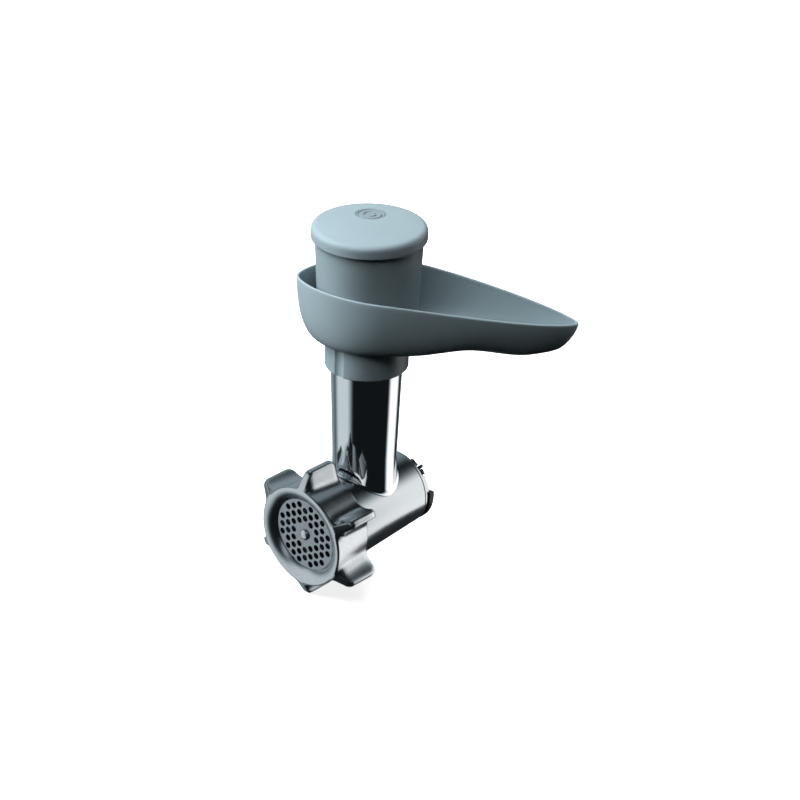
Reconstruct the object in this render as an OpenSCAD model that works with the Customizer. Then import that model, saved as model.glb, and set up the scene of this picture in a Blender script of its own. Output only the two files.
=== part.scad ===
// Meat-grinder attachment for a stand mixer: feed tray and pusher over a worm barrel.
// The origin is the centre of the barrel's rear mounting face. The barrel runs along Y
// with its outlet towards -Y, and +Z is up. All lengths are millimetres.

/* [Barrel] */
// Length from the mounting face to the front face of the hole plate
barrel_len = 95; // [94:0.5:97]
// Outer radius at the mounting face
barrel_r_rear = 27.3; // [27:0.1:28]
// Outer radius where the ring nut begins
barrel_r_front = 30.7; // [30.4:0.1:30.8]
// Radius of the bore that the worm turns in
worm_bore_r = 24.6; // [24.5:0.1:25]
// Thickness of the rear wall
rear_wall = 8; // [7:0.5:9]

/* [Feed tube] */
// Distance of the tube's axis in front of the mounting face
tube_fwd = 36.9; // [36:0.1:38]
// Outer radius where the tube leaves the barrel
tube_r_low = 22.4; // [22.3:0.1:22.6]
// Outer radius under the tray
tube_r_high = 24.4; // [24:0.1:24.5]
// Height of the tube's rim
tube_top = 130.6; // [130:0.1:130.7]
// Thickness of the tube's wall
tube_wall = 1.6; // [1.4:0.1:1.8]

/* [Cutting set] */
// Radius of the hole plates
plate_r = 27; // [26.9:0.05:27.05]
// Thickness of the hole plates
plate_thick = 5; // [4.5:0.1:5]
// Hole spacing of the fitted plate
hole_pitch = 6.2; // [6:0.05:6.25]
// Radius of the fitted plate's holes
hole_r = 2.25; // [1.5:0.05:2.4]
// Width of the knife's square seat on the worm
knife_square = 9; // [8.6:0.1:9.2]

/* [Ring nut] */
// Radius at the tips of the grip lobes
nut_tip_r = 48.4; // [46:0.1:50]
// Radius of the body between the lobes
nut_body_r = 35.4; // [34.8:0.1:36]
// Radius of the front opening
nut_mouth_r = 26; // [25.2:0.1:26.2]
// Length of the nut's skirt behind the plate's front face
nut_skirt = 27; // [26:0.5:27]
// Number of grip lobes
nut_lobes = 6; // [5:1:8]
// Advance of the nut in one turn
thread_pitch = 3.5; // [3:0.25:4]

/* [Tray] */
// Direction of the tray's long axis, counted from +X towards +Y
tray_dir = 40; // [0:1:90]
// Reach of the round end behind the tube's axis
tray_back = 47.8; // [46:0.1:50]
// Reach of the nose in front of the tube's axis
tray_nose = 142.1; // [135:0.1:146]
// Half of the greatest width
tray_half_w = 39.4; // [39:0.1:42]
// Height of the rim at the round end
tray_rim_z = 174.2; // [172:0.1:176]
// Height of the underside around the collar
tray_base_z = 131; // [131:0.1:131.4]
// Thickness of the tray's wall
tray_wall = 1.8; // [1.6:0.1:1.8]
// Outer radius of the collar under the tray
collar_r = 28.4; // [27.5:0.1:28.6]
// Height of the collar's lower edge
collar_z = 110; // [108:0.5:114]

/* [Pusher] */
// Outer radius of the pusher's head at its foot
head_r_low = 33.5; // [33:0.1:33.6]
// Outer radius of the pusher's head under the lid
head_r_high = 36; // [35.6:0.1:36]
// Height of the head's rim
head_top = 209.2; // [208:0.1:209.3]
// Radius of the plunger in the tube
plunger_r = 20.2; // [19:0.1:20.3]
// Height of the plunger's lower end
plunger_z = 64; // [60:1:80]
// Radius of the lid
lid_r = 38.5; // [38:0.1:39.5]
// Height of the lid's lower rim
lid_z = 202.8; // [202:0.1:203.5]

/* [Hidden] */
$fn = 96;
// Radial clearance between parts that are put together by hand
fit_gap = 0.3;
// Radial clearance of a shaft that turns in its bush
run_gap = 0.05;
// Forward distances from the mounting face
plate_back = barrel_len - plate_thick;
knife_room = 6;
worm_front = plate_back - knife_room;
barrel_front = barrel_len - 1.4;
thread_start = barrel_front - 14;
nut_rear = barrel_len - nut_skirt;
// Barrel front end
seat_r = plate_r + 0.15;
knife_room_r = 26;
thread_root_r = 28.8;
nut_bore_r = 30.3;
// Drive end
shaft_r = 6;
bush_r = 9.5;
bush_front = 9;
washer_front = 11;
worm_rear = 11.5;
shaft_reach = 23;
dog_seat = 4;
dog_thick = 5;
dog_r = 12;
dog_square = 8;
dog_screw_r = 2.5;
dog_screw_head = [6.4, 2.6];
claw_size = [6, 3.6, 4];
claw_dist = 7.5;
coupling_bore_r = 12.8;
spigot_r = 20;
spigot_len = 6.5;
pilot_r = 14.7;
pilot_len = 4.3;
// Bayonet lugs, teeth and tabs: radii, distances behind the face, and the angles they span
lug_root_r = 25.4;
lug_r = 27.2;
lug_low = 2.5;
lug_high = 6.8;
lug_span = [83, 138];
tooth_high = 5;
tooth_spans = [[37, 41.5], [43, 52]];
tab_len = 2.2;
tab_spans = [[22, 35], [54, 79]];
face_gap = 0.15;
twice = [0, 180];
screw_angles = [0:90:270];
screw_dist = 17.4;
screw_r = 1.25;
screw_head_r = 2;
screw_seat = 5;
screw_head_high = 2;
// Spindle, knife, key and worm flight
knife_arm_thick = 3.5;
dome_high = 1.6;
spindle_r = 4;
spindle_root_r = 5;
key_r = 1.4;
key_dist = 26.9;
key_angle = 205;
worm_core_r = 9;
worm_r = 24.2;
worm_turns = 3.25;
// Ring nut: rim height over the plate, lobe angles, rounding radii and the dished mouth
nut_face_high = 5;
lobe_tip = 3.2;
lobe_flank = 15;
lobe_round_rear = 6;
lobe_round_front = 6;
dish_wide = 8.2;
dish_high = 4.6;
// Tube, tray and pusher
tube_straight_z = 110;
tube_low_z = 44;
tube_bore_r = tube_r_low - tube_wall;
collar_bore_r = tube_r_high + 0.4;
throat_r = tube_r_high - 1.8;
floor_thick = 2.5;
groove_r = 7;
groove_deep = 1.4;
foot_r = 29;
foot_lip_r = 24;
head_round = 8;
plunger_wall = 2.4;
head_floor_z = 140;
head_wall = 2.2;
foot_z = tray_base_z + floor_thick + 0.3;
ledge_z = head_floor_z + 2.6;
// Lid: top of the dome, height and radius of its rounded edge, and the badge's seat
lid_top = lid_z + 10.8;
lid_edge_z = lid_z + 5.6;
lid_round = 3.6;
badge_r = 9.8;
badge_at = 13.5 * [cos(131), sin(131)];
badge_z = lid_z + 9.4;

// --- Helpers -------------------------------------------------------------------------

// Turns a shape drawn upwards from z = 0 so that z becomes the forward distance.
module forward() { rotate([90, 0, 0]) children(); }

module at_tube() { translate([0, -tube_fwd, 0]) children(); }

module ring(r_out, r_in, z_low, z_high) {
    translate([0, 0, z_low]) difference() {
        cylinder(r = r_out, h = z_high - z_low);
        translate([0, 0, -1]) cylinder(r = r_in, h = z_high - z_low + 2);
    }
}

// The part of a ring between two angles
module sector(r_out, r_in, z_low, z_high, span) {
    step = (span[1] - span[0]) / 4;
    intersection() {
        ring(r_out, r_in, z_low, z_high);
        translate([0, 0, z_low - 1]) linear_extrude(z_high - z_low + 2) polygon(concat(
            [[0, 0]], [for (a = [span[0]:step:span[1]]) 2 * r_out * [sin(a), cos(a)]]
        ));
    }
}

// A square bar centred on the axis
module square_bar(width, z_low, length) {
    translate([-width / 2, -width / 2, z_low]) cube([width, width, length]);
}

// Repeats a shape around the forward axis; angles run clockwise seen from the outlet.
module around(angles) { for (a = angles) rotate([0, 0, -a]) children(); }

function clamp01(v) = max(0, min(1, v));
function smooth(v) = clamp01(v) * clamp01(v) * (3 - 2 * clamp01(v));
function bezier(p, t) =
    pow(1 - t, 3) * p[0] + 3 * t * pow(1 - t, 2) * p[1] + 3 * t * t * (1 - t) * p[2] + pow(t, 3) * p[3];

// --- Barrel and drive ----------------------------------------------------------------

function barrel_r_at(fwd) = barrel_r_rear + (barrel_r_front - barrel_r_rear) * fwd / nut_rear;

module barrel_profile() {
    polygon([
        [bush_r, 0], [barrel_r_rear - 0.8, 0], [barrel_r_rear, 0.8],
        [barrel_r_front, nut_rear], [barrel_r_front, thread_start - 4],
        [thread_root_r, thread_start - 2], [thread_root_r, barrel_front - 0.8],
        [thread_root_r - 0.6, barrel_front], [seat_r, barrel_front],
        [seat_r, plate_back - 0.1], [knife_room_r, plate_back - 0.1],
        [knife_room_r, worm_front], [worm_bore_r, worm_front - 2],
        [worm_bore_r, rear_wall], [bush_r, rear_wall]
    ]);
}

// Two tabs behind the rear face, with a notch between them for the coupling's teeth
module tabs() {
    for (span = tab_spans)
        sector(barrel_r_rear - 0.2, lug_root_r - 0.5, -tab_len, 1, span);
}

module housing() {
    color([0.72, 0.74, 0.76]) difference() {
        forward() difference() {
            union() {
                rotate_extrude() barrel_profile();
                around(twice) tabs();
            }
            around([key_angle]) translate([0, key_dist, plate_back - 5])
                cylinder(r = key_r, h = 20, $fn = 32);
            around(screw_angles) translate([0, screw_dist, -1]) cylinder(r = screw_r, h = 7, $fn = 24);
        }
        at_tube() cylinder(r = tube_bore_r, h = 60);
    }
}

module feed_tube() {
    color([0.86, 0.88, 0.9]) difference() {
        at_tube() rotate_extrude() polygon([
            [tube_bore_r, 12], [tube_r_low, 12], [tube_r_low, tube_low_z],
            [tube_r_high, tube_straight_z], [tube_r_high, tube_top - 0.6],
            [tube_r_high - 0.6, tube_top], [tube_r_high - tube_wall, tube_top],
            [tube_r_high - tube_wall, tube_straight_z], [tube_bore_r, tube_low_z]
        ]);
        forward() translate([0, 0, -5])
            cylinder(r1 = barrel_r_at(-5), r2 = barrel_r_at(nut_rear), h = nut_rear + 5);
    }
}

module bayonet_ring() {
    color([0.1, 0.11, 0.12]) forward() mirror([0, 0, 1]) difference() {
        union() {
            rotate_extrude() polygon([
                [coupling_bore_r, 0], [spigot_r, 0], [spigot_r, spigot_len], [pilot_r, spigot_len],
                [pilot_r, spigot_len + pilot_len], [coupling_bore_r, spigot_len + pilot_len]
            ]);
            around(twice) lug();
            around(twice) detent();
        }
        around(screw_angles) translate([0, screw_dist, 0]) {
            translate([0, 0, -1]) cylinder(r = screw_r + 0.2, h = 20, $fn = 24);
            translate([0, 0, screw_seat]) cylinder(r = screw_head_r + 0.2, h = 20, $fn = 32);
        }
    }
}

// A bayonet lug, undercut so that the hub's rim slides in behind it
module lug() {
    sector(lug_root_r, spigot_r - 1, face_gap, lug_low + 0.5, lug_span + [1, -1]);
    sector(lug_r, spigot_r - 1, lug_low, lug_high, lug_span);
}

// Two small teeth that stand in the notch between the barrel's tabs
module detent() {
    sector(lug_r, spigot_r - 1, 0.9, tooth_high, tooth_spans[0]);
    sector(lug_r, spigot_r - 1, face_gap, tooth_high - 2, tooth_spans[1]);
}

module bayonet_screws() {
    color([0.6, 0.6, 0.62]) forward() around(screw_angles) translate([0, screw_dist, -screw_seat])
        difference() {
            union() {
                cylinder(r = screw_r, h = screw_seat + 5, $fn = 24);
                translate([0, 0, -screw_head_high]) cylinder(r = screw_head_r, h = screw_head_high, $fn = 32);
            }
            translate([0, 0, -screw_head_high - 1]) cylinder(r = 1.3, h = 2.2, $fn = 6);
        }
}

module rear_bush() {
    color([0.75, 0.6, 0.35]) forward() union() {
        ring(bush_r, shaft_r + run_gap, 0, bush_front);
        ring(bush_r + 2, shaft_r + run_gap, rear_wall, bush_front);
    }
}

module shaft_seal() {
    color([0.12, 0.12, 0.12]) forward() difference() {
        ring(coupling_bore_r - fit_gap, shaft_r + fit_gap, -2, 0);
        ring(11, 8, -3, -1);
    }
}

module plate_key_pin() {
    color([0.7, 0.7, 0.72]) forward() around([key_angle])
        translate([0, key_dist, plate_back - 5]) cylinder(r = key_r, h = 8, $fn = 32);
}

module thrust_washer() {
    color([0.93, 0.93, 0.9]) forward() ring(14, shaft_r + run_gap, bush_front, washer_front);
}

// One thread of the worm, drawn as the section that is swept around the core
module worm_section() {
    polygon(concat(
        [for (a = [-40:20:40]) (worm_core_r - 1.5) * [cos(a), sin(a)]],
        [for (a = [12:-8:-12]) worm_r * [cos(a), sin(a)]]
    ));
}

module worm() {
    color([0.78, 0.8, 0.82]) forward() difference() {
        union() {
            ring(worm_core_r, spindle_root_r, worm_rear, worm_front);
            ring(16, spindle_root_r, worm_rear, worm_rear + 3);
            translate([0, 0, worm_rear + 2])
                linear_extrude(worm_front - worm_rear - 4, twist = -360 * worm_turns, slices = 60, $fn = 16)
                    worm_section();
        }
        translate([0, 0, worm_rear - 1]) cylinder(r = shaft_r, h = shaft_reach + 1);
    }
}

module drive_shaft() {
    color([0.66, 0.67, 0.7]) forward() difference() {
        drive_shaft_blank();
        translate([0, 0, -dog_seat - dog_thick - 1]) cylinder(r = dog_screw_r, h = 14);
    }
}

module drive_shaft_blank() {
    union() {
        translate([0, 0, -dog_seat]) cylinder(r = shaft_r, h = dog_seat + worm_rear + shaft_reach);
        square_bar(dog_square, -dog_seat - dog_thick + 0.2, dog_thick);
    }
}

module drive_dog() {
    color([0.13, 0.14, 0.15]) forward() translate([0, 0, -dog_seat - dog_thick]) difference() {
        union() {
            cylinder(r = dog_r, h = dog_thick);
            around([0:120:240]) claw();
        }
        square_bar(dog_square + 0.2, -1, dog_thick + 2);
    }
}

module claw() {
    translate([-claw_size.x / 2, claw_dist, -claw_size.z]) cube(claw_size + [0, 0, 2]);
}

module dog_screw() {
    color([0.6, 0.6, 0.62]) forward() translate([0, 0, -dog_seat - dog_thick]) difference() {
        union() {
            translate([0, 0, -dog_screw_head[1]])
                cylinder(r = dog_screw_head[0], h = dog_screw_head[1]);
            cylinder(r = dog_screw_r, h = 11);
        }
        translate([0, 0, -3]) cylinder(r = 2, h = 2.4, $fn = 6);
    }
}

// --- Cutting set ---------------------------------------------------------------------

module worm_spindle() {
    color([0.82, 0.83, 0.85]) forward() union() {
        translate([0, 0, worm_front - 14]) cylinder(r = spindle_root_r, h = 14.1);
        intersection() {
            square_bar(knife_square, worm_front, knife_room - 0.2);
            translate([0, 0, worm_front]) cylinder(r = 0.65 * knife_square, h = knife_room);
        }
        translate([0, 0, plate_back - 0.3]) cylinder(r = spindle_r, h = plate_thick + 1);
        translate([0, 0, barrel_len + 0.7]) rotate_extrude()
            polygon(concat([[0, 0]], [for (a = [0:15:90]) [spindle_r * cos(a), dome_high * sin(a)]]));
    }
}

module knife_arm() {
    polygon([[3, -4.5], [24.6, -3], [24.6, 1.5], [21, 3.2], [9, 4.5], [3, 6]]);
}

module knife() {
    color([0.7, 0.71, 0.73]) forward() difference() {
        union() {
            translate([0, 0, worm_front + 0.2]) cylinder(r = 9, h = knife_room - 0.3);
            translate([0, 0, plate_back - knife_arm_thick - 0.1]) linear_extrude(knife_arm_thick)
                around([0:90:270]) knife_arm();
        }
        square_bar(knife_square + 0.2, worm_front - 1, knife_room + 4);
    }
}

// A round plate whose holes lie on a hexagonal grid, between two distances from its centre
module grid_plate(pitch, hole, near, far) {
    rows = ceil(far / pitch) + 1;
    difference() {
        cylinder(r = plate_r, h = plate_thick);
        translate([0, 0, -1]) cylinder(r = spindle_r + run_gap, h = plate_thick + 2, $fn = 48);
        for (column = [-rows:rows], row = [-rows:rows]) {
            x = column * pitch * sqrt(3) / 2;
            y = (row + (column % 2 == 0 ? 0 : 0.5)) * pitch;
            distance = sqrt(x * x + y * y);
            if (distance > near && distance < far)
                translate([x, y, -1]) cylinder(r = hole, h = plate_thick + 2, $fn = 24);
        }
        around([key_angle]) translate([0, key_dist, -1])
            cylinder(r = key_r + 0.5, h = plate_thick + 2, $fn = 32);
    }
}

module hole_plate() {
    color([0.5, 0.53, 0.55]) forward() translate([0, 0, plate_back])
        grid_plate(hole_pitch, hole_r, 1.6 * hole_pitch, 3.7 * hole_pitch);
}

// Height of a grip lobe over the body, from 0 to 1, at an angle past the lobe's flat tip
function lobe_height(a) = pow(max(0, 1 - pow(a / lobe_flank, 1.1)), 1.6);
function lobe_angle(a) = abs((a + 180 / nut_lobes) % (360 / nut_lobes) - 180 / nut_lobes);
function lobe_r(a) =
    lobe_angle(a) < lobe_tip ? nut_tip_r
    : nut_body_r + (nut_tip_r - nut_body_r) * lobe_height(lobe_angle(a) - lobe_tip);

module ring_nut() {
    front = barrel_len + nut_face_high;
    over_r = nut_tip_r + 1;
    color([0.8, 0.82, 0.84]) forward() difference() {
        intersection() {
            translate([0, 0, nut_rear]) linear_extrude(front - nut_rear)
                polygon([for (a = [0:2:358]) lobe_r(a) * [sin(a), cos(a)]]);
            rotate_extrude() polygon(concat(
                [[0, nut_rear]],
                [for (a = [-90:15:0]) [over_r, nut_rear] + lobe_round_rear * [cos(a) - 1, sin(a) + 1]],
                [for (a = [0:15:60]) [over_r, barrel_len] + lobe_round_front * [cos(a) - 1, sin(a) - 1]],
                [[nut_body_r + 2.5, front - 1.2], [nut_body_r + 0.8, front], [0, front]]
            ));
        }
        translate([0, 0, nut_rear - 1]) cylinder(r = barrel_r_front + 0.6, h = thread_start - nut_rear);
        translate([0, 0, nut_rear - 1]) cylinder(r = nut_bore_r, h = barrel_len - nut_rear);
        translate([0, 0, nut_rear]) cylinder(r = seat_r + 0.4, h = nut_skirt);
        translate([0, 0, nut_rear]) cylinder(r = nut_mouth_r, h = 60);
        translate([0, 0, front - dish_high]) rotate_extrude() polygon(concat(
            [[0, 0]],
            [for (a = [0:15:90]) [nut_mouth_r + dish_wide * (1 - cos(a)), dish_high * sin(a) + 0.01]],
            [[0, dish_high + 0.01]]
        ));
    }
}

// --- Tray ----------------------------------------------------------------------------

// Half outlines, from the round end to the nose, as two curves each: the tray's rim, and
// the edge of its underside
rim_curves = [
    [[-tray_back, 0], [-tray_back, 12], [-21.5, tray_half_w], [12, tray_half_w]],
    [[12, tray_half_w], [50, tray_half_w], [tray_nose - 12, 19.5], [tray_nose, 0]]
];
base_curves = [
    [[-33, 0], [-33, 16], [-20, 30], [6, 30]],
    [[6, 30], [40, 30], [tray_nose - 23.6, 13.5], [tray_nose - 14.4, 0]]
];
function half_outline(curves, steps) = concat(
    [for (i = [0:steps - 1]) bezier(curves[0], i / steps)],
    [for (i = [0:steps]) bezier(curves[1], i / steps)]
);
function mirrored(half) = concat(half, [for (i = [len(half) - 2:-1:1]) [half[i].x, -half[i].y]]);
function inward(points, i, d) =
    let (n = len(points), a = points[(i + n - 1) % n], b = points[(i + 1) % n], t = (b - a) / norm(b - a))
    points[i] + d * [t.y, -t.x];

outline_steps = 14;
// Rim: steady fall along the tray, where it starts, and how gently
fall = 0.1075;
fall_from = 15;
fall_ease = 30;
// Underside: the arch's height, start and length, and the drop towards the nose
arch_high = 3;
arch_from = 26;
arch_len = 84;
nose_drop = 4.2;
rim_points = mirrored(half_outline(rim_curves, outline_steps));
base_points = mirrored(half_outline(base_curves, outline_steps));
outline_n = len(rim_points);

// Height of the rim: level around the pusher, then falling steadily to the nose
function rim_z(s) = let (v = s - fall_from) tray_rim_z - fall * (v + sqrt(v * v + pow(fall_ease, 2)));
// Height of the underside: level at the collar, arched in the middle, lower at the nose
function base_z(s) =
    tray_base_z + arch_high * pow(sin(180 * clamp01((s - arch_from) / arch_len)), 2)
    - nose_drop * smooth((s - 60) / 50);

// One ring of the wall between rim and underside; turn runs from 0 at the rim to 90
function wall_ring(turn, inset, lift) = [for (i = [0:outline_n - 1])
    let (
        rim = inward(rim_points, i, inset), base = base_points[i],
        power = 0.8 + 0.55 * pow((rim.x + tray_back) / (tray_back + tray_nose), 2),
        down = pow(sin(turn), power), in = 0.9 * (1 - pow(cos(turn), power)) + 0.1 * down,
        p = rim + (base - rim) * in,
        top = rim_z(rim.x) - 0.9, bottom = base_z(base.x) + lift
    ) [p.x, p.y, top + (bottom - top) * down]];
// One ring of the floor between the underside's edge and the throat
function floor_ring(part, lift) = [for (i = [0:outline_n - 1])
    let (
        base = base_points[i], hole = throat_r * base / norm(base),
        p = base + (hole - base) * part
    ) [p.x, p.y, base_z(p.x) + lift]];
function lip_ring() = [for (i = [0:outline_n - 1])
    let (p = inward(rim_points, i, tray_wall / 2)) [p.x, p.y, rim_z(p.x)]];

module tray_shell() {
    rings = concat(
        [for (t = [0:10:90]) wall_ring(t, 0, 0)],
        [for (p = [0.3, 0.65, 0.93, 1]) floor_ring(p, 0)],
        [for (p = [1, 0.93, 0.65, 0.3]) floor_ring(p, floor_thick)],
        [for (t = [90:-10:0]) wall_ring(t, tray_wall, floor_thick)],
        [lip_ring()]
    );
    rows = len(rings);
    polyhedron(
        points = [for (r = rings, p = r) p],
        faces = [for (r = [0:rows - 1], i = [0:outline_n - 1], half = [0, 1])
            let (
                r2 = (r + 1) % rows, i2 = (i + 1) % outline_n,
                a = r * outline_n + i, b = r * outline_n + i2,
                c = r2 * outline_n + i2, d = r2 * outline_n + i
            ) half == 0 ? [a, c, b] : [a, d, c]]
    );
}

module hopper_tray() {
    color([0.52, 0.6, 0.64]) at_tube() union() {
        rotate([0, 0, tray_dir]) tray_shell();
        difference() {
            ring(collar_r, collar_bore_r, collar_z, tray_base_z + 1.2);
            rotate([0, 0, 2]) translate([0, groove_deep - groove_r - collar_r, collar_z - 1])
                cylinder(r = groove_r, h = tray_base_z - collar_z + 0.5, $fn = 64);
        }
    }
}

// --- Pusher --------------------------------------------------------------------------

module pusher_head() {
    inner_r = head_r_high - head_wall;
    color([0.45, 0.53, 0.58]) at_tube() rotate_extrude() polygon(concat(
        [[plunger_r, foot_z + 1], [foot_lip_r, foot_z + 1], [foot_lip_r, foot_z], [foot_r, foot_z],
         [foot_r, head_floor_z + 1]],
        [for (a = [-60:15:0]) [head_r_low, head_floor_z] + head_round * [cos(a) - 1, sin(a) + 1]],
        [[head_r_high, head_top - 6], [head_r_high, head_top], [inner_r, head_top], [inner_r, head_top - 6],
         [head_r_low - head_wall, head_floor_z + head_round + 2],
         [head_r_low - head_wall - 3, ledge_z], [plunger_r, ledge_z]]
    ));
}

module plunger() {
    inner_r = plunger_r - plunger_wall;
    color([0.42, 0.5, 0.55]) at_tube() rotate_extrude() polygon([
        [0, plunger_z], [plunger_r - 1.5, plunger_z], [plunger_r, plunger_z + 1.5],
        [plunger_r, ledge_z], [inner_r, ledge_z], [inner_r, plunger_z + 3], [0, plunger_z + 3]
    ]);
}

// The spare plates lie on the ledge inside the head
module spare_plate_coarse() {
    color([0.55, 0.57, 0.6]) at_tube() translate([0, 0, ledge_z]) grid_plate(10.6, 4, 9, 24);
}

module spare_plate_fine() {
    color([0.58, 0.6, 0.62]) at_tube() translate([0, 0, ledge_z + plate_thick + fit_gap])
        grid_plate(4.6, 1.5, 7, 23.6);
}

module pusher_lid() {
    plug_r = head_r_high - head_wall - 1;
    color([0.55, 0.63, 0.67]) at_tube() difference() {
        rotate_extrude() polygon(concat(
            [[head_r_high + 0.4, head_top + 0.3], [head_r_high + 0.4, lid_z + 0.4],
             [head_r_high + 0.8, lid_z], [lid_r - 0.5, lid_z], [lid_r, lid_z + 0.5]],
            [for (a = [0:15:75]) [lid_r, lid_edge_z] + lid_round * [cos(a) - 1, sin(a)]],
            [for (r = [30:-6:0]) [r, lid_top - 1.6 * pow(r / 34, 2)]],
            [[0, head_top + 1.3], [plug_r - 2, head_top + 1.3], [plug_r - 2, head_top - 4],
             [plug_r, head_top - 4], [plug_r, head_top + 0.3]]
        ));
        translate([badge_at.x, badge_at.y, badge_z]) cylinder(r = badge_r + 0.1, h = 4);
    }
}

module lid_badge() {
    color([0.6, 0.67, 0.71]) at_tube() translate([badge_at.x, badge_at.y, badge_z]) {
        cylinder(r = badge_r, h = 0.8);
        ring(badge_r - 1, badge_r - 1.8, 0.7, 1.1);
        ring(3.4, 2.6, 0.7, 1.1);
    }
}

module lid_seal() {
    seat = head_r_high - head_wall - 1;
    color([0.2, 0.22, 0.24]) at_tube() ring(seat + 0.6, seat, head_top - 3, head_top - 1);
}

housing();
feed_tube();
bayonet_ring();
bayonet_screws();
rear_bush();
shaft_seal();
plate_key_pin();
thrust_washer();
worm();
drive_shaft();
drive_dog();
dog_screw();
worm_spindle();
knife();
hole_plate();
ring_nut();
hopper_tray();
pusher_head();
plunger();
spare_plate_coarse();
spare_plate_fine();
pusher_lid();
lid_badge();
lid_seal();
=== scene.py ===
"""A stand mixer's meat-grinder attachment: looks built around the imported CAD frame.

Shapes are drawn in millimetres and turned into metres when a mesh is made. Parts that turn about
the worm's axis are drawn as (radius, forward), where forward is the distance in front of the
rear mounting face; parts that stand on the feed tube's axis are drawn as (radius, height).
"""
import math

import bmesh
import bpy
from mathutils import Matrix, Vector


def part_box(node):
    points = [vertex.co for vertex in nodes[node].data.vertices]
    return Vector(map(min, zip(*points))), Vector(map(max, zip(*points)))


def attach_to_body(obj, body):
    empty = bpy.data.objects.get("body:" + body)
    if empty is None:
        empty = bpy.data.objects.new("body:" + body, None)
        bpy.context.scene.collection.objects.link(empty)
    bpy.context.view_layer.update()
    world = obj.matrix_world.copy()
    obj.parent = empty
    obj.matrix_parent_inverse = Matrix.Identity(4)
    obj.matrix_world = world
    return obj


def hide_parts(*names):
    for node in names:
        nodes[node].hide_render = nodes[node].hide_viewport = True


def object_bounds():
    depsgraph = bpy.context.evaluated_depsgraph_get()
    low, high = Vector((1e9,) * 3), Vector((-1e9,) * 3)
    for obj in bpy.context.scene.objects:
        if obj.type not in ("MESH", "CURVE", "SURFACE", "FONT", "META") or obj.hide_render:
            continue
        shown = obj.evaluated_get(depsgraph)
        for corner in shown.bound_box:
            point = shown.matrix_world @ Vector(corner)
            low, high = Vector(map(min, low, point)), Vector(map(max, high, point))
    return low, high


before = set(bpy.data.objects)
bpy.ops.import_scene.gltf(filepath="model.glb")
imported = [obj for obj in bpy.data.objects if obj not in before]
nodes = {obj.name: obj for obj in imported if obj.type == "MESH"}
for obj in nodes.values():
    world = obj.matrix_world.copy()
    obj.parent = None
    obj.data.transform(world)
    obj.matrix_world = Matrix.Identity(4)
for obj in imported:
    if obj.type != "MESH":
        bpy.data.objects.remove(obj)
cad_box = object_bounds()

MM = 0.001
TAU = 2 * math.pi


# --- Sizes taken from the frame --------------------------------------------------------

def low_mm(node):
    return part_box(node)[0] / MM


def high_mm(node):
    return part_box(node)[1] / MM


tube_fwd = -(low_mm("feed_tube").y + high_mm("feed_tube").y) / 2
tube_top = high_mm("feed_tube").z
tube_high_r = high_mm("feed_tube").x
plate_front = -low_mm("hole_plate").y
plate_r = high_mm("hole_plate").x
barrel_front = -low_mm("housing").y
barrel_front_r = high_mm("housing").x
nut_front = -low_mm("ring_nut").y
nut_rear = -high_mm("ring_nut").y
nut_tip_r = high_mm("ring_nut").z
collar_low = low_mm("hopper_tray").z
tray_rim_high = high_mm("hopper_tray").z
plunger_low = low_mm("plunger").z
head_top = high_mm("pusher_head").z
head_top_r = high_mm("pusher_head").x
lid_low = low_mm("pusher_lid").z
lid_high = high_mm("pusher_lid").z
lid_r = high_mm("pusher_lid").x
badge_low = low_mm("lid_badge").z
badge_at = (low_mm("lid_badge") + high_mm("lid_badge")) / 2

ALONG_BARREL = Matrix(((1, 0, 0, 0), (0, 0, -1, 0), (0, 1, 0, 0), (0, 0, 0, 1)))
ON_TUBE = Matrix.Translation((0, -tube_fwd * MM, 0))
AT_BADGE = Matrix.Translation((badge_at.x * MM, badge_at.y * MM, 0))


# --- Mesh tools ------------------------------------------------------------------------

CORNER_SHARE = 0.48
NEARLY_STRAIGHT = math.radians(88)
STEPS_PER_TURN = 72
RIDGE_TAPER = 6
TAPERED_WIDTH = 0.3


def mark_edges(bm, sharp):
    """Makes a mesh smooth but for the edges that turn by more than an angle in degrees."""
    limit = math.radians(sharp)
    for face in bm.faces:
        face.smooth = True
    for edge in bm.edges:
        edge.smooth = not edge.is_manifold or edge.calc_face_angle(0) < limit


def finish_mesh(name, bm, place=Matrix.Identity(4), sharp=35):
    """Turns a bmesh in millimetres into an object in metres, smooth but for its sharp edges."""
    bmesh.ops.recalc_face_normals(bm, faces=bm.faces)
    mark_edges(bm, sharp)
    mesh = bpy.data.meshes.new(name)
    bm.to_mesh(mesh)
    bm.free()
    mesh.transform(place @ Matrix.Scale(MM, 4))
    piece = bpy.data.objects.new(name, mesh)
    bpy.context.scene.collection.objects.link(piece)
    return piece


def quadratic(start, pull, end, t):
    """A place on the curve from start to end that leans towards pull."""
    return (1 - t) ** 2 * start + 2 * t * (1 - t) * pull + t * t * end


def rounded(points, steps=5):
    """A closed outline whose corners (x, y, radius) are replaced with arcs."""
    outline = []
    count = len(points)
    for i, corner in enumerate(points):
        here = Vector(corner[:2])
        radius = corner[2] if len(corner) > 2 else 0
        before = Vector(points[i - 1][:2]) - here
        after = Vector(points[(i + 1) % count][:2]) - here
        reach_limit = CORNER_SHARE * min(before.length, after.length)
        before.normalize()
        after.normalize()
        half = before.angle(after) / 2
        if radius <= 0 or half > NEARLY_STRAIGHT:
            outline.append(here)
            continue
        reach = min(radius / math.tan(half), reach_limit)
        start, end = here + before * reach, here + after * reach
        outline += [quadratic(start, here, end, k / steps) for k in range(steps + 1)]
    return outline


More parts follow.
